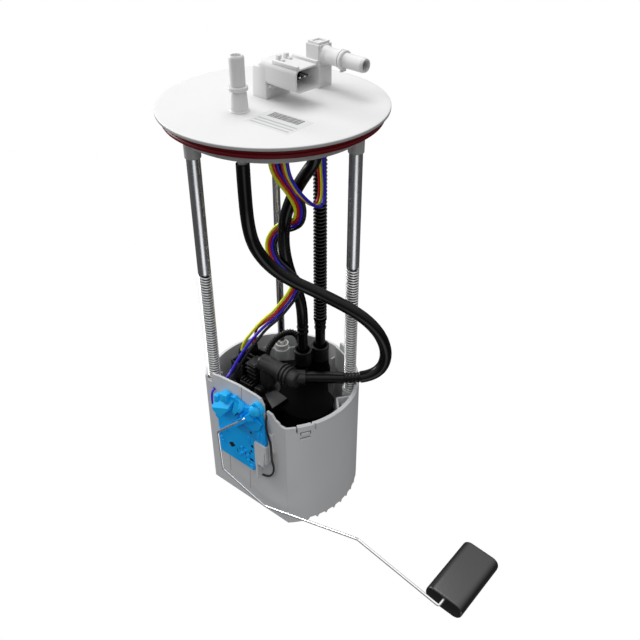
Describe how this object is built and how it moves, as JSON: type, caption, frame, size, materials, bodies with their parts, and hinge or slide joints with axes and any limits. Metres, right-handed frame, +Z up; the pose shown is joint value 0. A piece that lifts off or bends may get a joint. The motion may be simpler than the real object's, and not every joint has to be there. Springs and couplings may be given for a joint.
{
  "type": "in-tank fuel pump module with level sender",
  "caption": "Fuel pump module: flange cover with pipe ends and socket on spring-loaded guide rods over a grey cup that holds pump, filter and a float level sender",
  "frame": {"origin": "middle of the cup's base on the floor, on the cover flange's axis", "axes": "+Z up through the cover; the cup's flat side with the level sender faces -Y; the float lies toward +X"},
  "size_m": [0.2777, 0.15, 0.365],
  "materials": {
    "grey_plastic": "moulded light grey plastic",
    "cover_plastic": "moulded grey plastic",
    "black_plastic": "moulded black plastic",
    "white_plastic": "natural white plastic",
    "blue_plastic": "azure plastic",
    "black_hose": "smooth black hose",
    "red_rubber": "dark red rubber",
    "black_foam": "closed-cell black foam",
    "rod_steel": "polished steel",
    "spring_steel": "drawn spring steel",
    "zinc_steel": "plated steel",
    "contact_metal": "contact metal",
    "magnet": "sintered magnet",
    "ceramic": "ceramic card with a blue glaze",
    "paper": "pleated filter paper",
    "mesh_fabric": "woven strainer mesh",
    "wire_yellow_skin": "yellow wire insulation",
    "wire_red_skin": "red wire insulation",
    "wire_blue_skin": "blue wire insulation",
    "wire_black_skin": "black wire insulation"
  },
  "bodies": {
    "reservoir": {"spring_left": "spring_steel", "spring_right": "spring_steel", "reservoir_cup": "grey_plastic", "rear_rod_bush": "white_plastic", "pump_carrier": "black_plastic", "inlet_strainer": "mesh_fabric", "pump_can": "zinc_steel", "pump_inlet_cover": "black_plastic", "pump_chamber": "black_plastic", "pump_magnets": "magnet", "pump_outlet_cap": "black_plastic", "pump_brushes": "contact_metal", "check_valve_cage": "contact_metal", "check_valve_spring": "spring_steel", "filter_housing": "black_plastic", "filter_element": "paper", "module_cap": "black_plastic", "pressure_head": "black_plastic", "pressure_regulator": "zinc_steel", "jet_pump": "white_plastic", "inlet_valve": "black_hose", "terminal_plug": "black_plastic", "supply_hose": "black_hose", "return_hose": "black_hose", "vapour_hose": "black_hose", "return_hose_cuff": "black_hose", "vapour_hose_cuff": "black_hose", "bridge_tube": "black_hose", "wire_yellow": "wire_yellow_skin", "wire_red": "wire_red_skin", "wire_blue": "wire_blue_skin", "wire_black": "wire_black_skin", "sender_lead_blue": "wire_blue_skin", "sender_lead_black": "wire_black_skin", "sender_body": "blue_plastic", "resistor_card": "ceramic"},
    "cover_group": {"cover": "cover_plastic", "connector_shell": "cover_plastic", "connector_pins": "contact_metal", "elbow_port": "cover_plastic", "elbow_clip": "cover_plastic", "seal_ring": "red_rubber", "guide_rod_left": "rod_steel", "guide_rod_right": "rod_steel", "guide_rod_rear": "rod_steel", "rod_retainers": "zinc_steel", "rear_rod_retainer": "zinc_steel", "harness_plug": "black_plastic", "sensor_plug": "black_plastic", "jumper_yellow": "wire_yellow_skin", "jumper_red": "wire_red_skin", "jumper_blue": "wire_blue_skin"},
    "arm_group": {"sender_rotor": "blue_plastic", "wiper_contacts": "contact_metal", "float_arm": "zinc_steel"},
    "float_body": {"float": "black_foam"},
    "pump_rotor": {"pump_armature": "zinc_steel", "pump_impeller": "white_plastic"},
    "valve_poppet": {"check_valve": "contact_metal"}
  },
  "joints": [
    {"name": "cover_slide", "type": "slide", "parent": "reservoir", "child": "cover_group", "axis": [0, 0, 1], "range_m": [-0.045, 0], "stiffness_N_per_m": 400, "springref_m": 0.04, "deforming": ["spring_left", "spring_right", "supply_hose", "return_hose", "vapour_hose", "wire_yellow", "wire_red", "wire_blue", "wire_black"]},
    {"name": "float_arm_swing", "type": "hinge", "parent": "reservoir", "child": "arm_group", "pos_m": [0.017, -0.0523, 0.1125], "axis": [0, -1, 0], "range_deg": [0, 60]},
    {"name": "float_pivot", "type": "hinge", "parent": "arm_group", "child": "float_body", "pos_m": [0.1877, -0.046, 0.0325], "axis": [0, 1, 0], "range_deg": [-70, 70]},
    {"name": "pump_rotor_spin", "type": "hinge", "parent": "reservoir", "child": "pump_rotor", "pos_m": [-0.0175, -0.008, 0.045], "axis": [0, 0, 1], "continuous": true},
    {"name": "check_valve_slide", "type": "slide", "parent": "reservoir", "child": "valve_poppet", "axis": [0, 0, 1], "range_m": [0, 0.002], "stiffness_N_per_m": 50, "springref_m": -0.01, "deforming": ["check_valve_spring"]}
  ]
}
